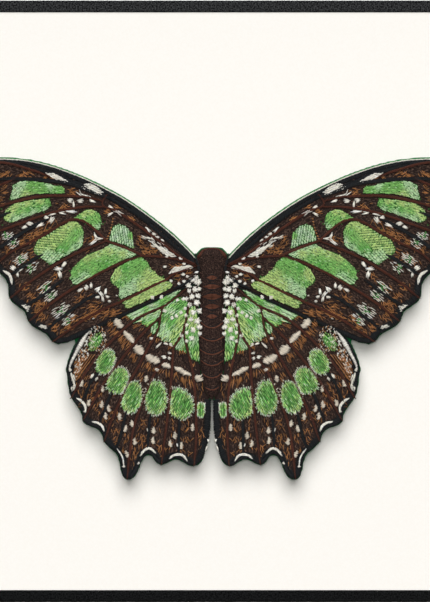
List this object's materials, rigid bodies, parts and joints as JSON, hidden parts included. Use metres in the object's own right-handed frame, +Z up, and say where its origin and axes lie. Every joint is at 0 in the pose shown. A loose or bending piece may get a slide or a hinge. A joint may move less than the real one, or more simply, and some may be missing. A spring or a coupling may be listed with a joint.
{
  "type": "framed embroidered butterfly",
  "caption": "Slim black picture frame with a cream board and an embroidered green and brown butterfly standing just in front of it, hung on a nail by a sawtooth hanger.",
  "frame": {"origin": "where the nail that carries the sawtooth hanger leaves the wall, in the plane of the rails' backs", "axes": "+Z up, +X to the viewer's right along the frame's longer side, +Y into the wall"},
  "size_m": [0.297, 0.0252, 0.21],
  "materials": {
    "frame_black": "matte",
    "board_cream": "matte",
    "hardboard": "matte",
    "zinc_steel": "satin",
    "foam": "matte",
    "green_felt": "matte",
    "wing_ground": "matte",
    "body_thread": "matte"
  },
  "bodies": {
    "root": {"rail_top": "frame_black", "rail_bottom": "frame_black", "rail_left": "frame_black", "rail_right": "frame_black", "mount_board": "board_cream", "back_panel": "hardboard", "panel_screw_1": "zinc_steel", "panel_screw_2": "zinc_steel", "panel_screw_3": "zinc_steel", "panel_screw_4": "zinc_steel", "panel_screw_5": "zinc_steel", "panel_screw_6": "zinc_steel", "hanger": "zinc_steel", "hanger_tack_left": "zinc_steel", "hanger_tack_right": "zinc_steel", "standoff_pad": "foam", "felt_backing": "green_felt", "forewing_left": "wing_ground", "forewing_right": "wing_ground", "hindwing_left": "wing_ground", "hindwing_right": "wing_ground", "body": "body_thread"}
  },
  "joints": []
}
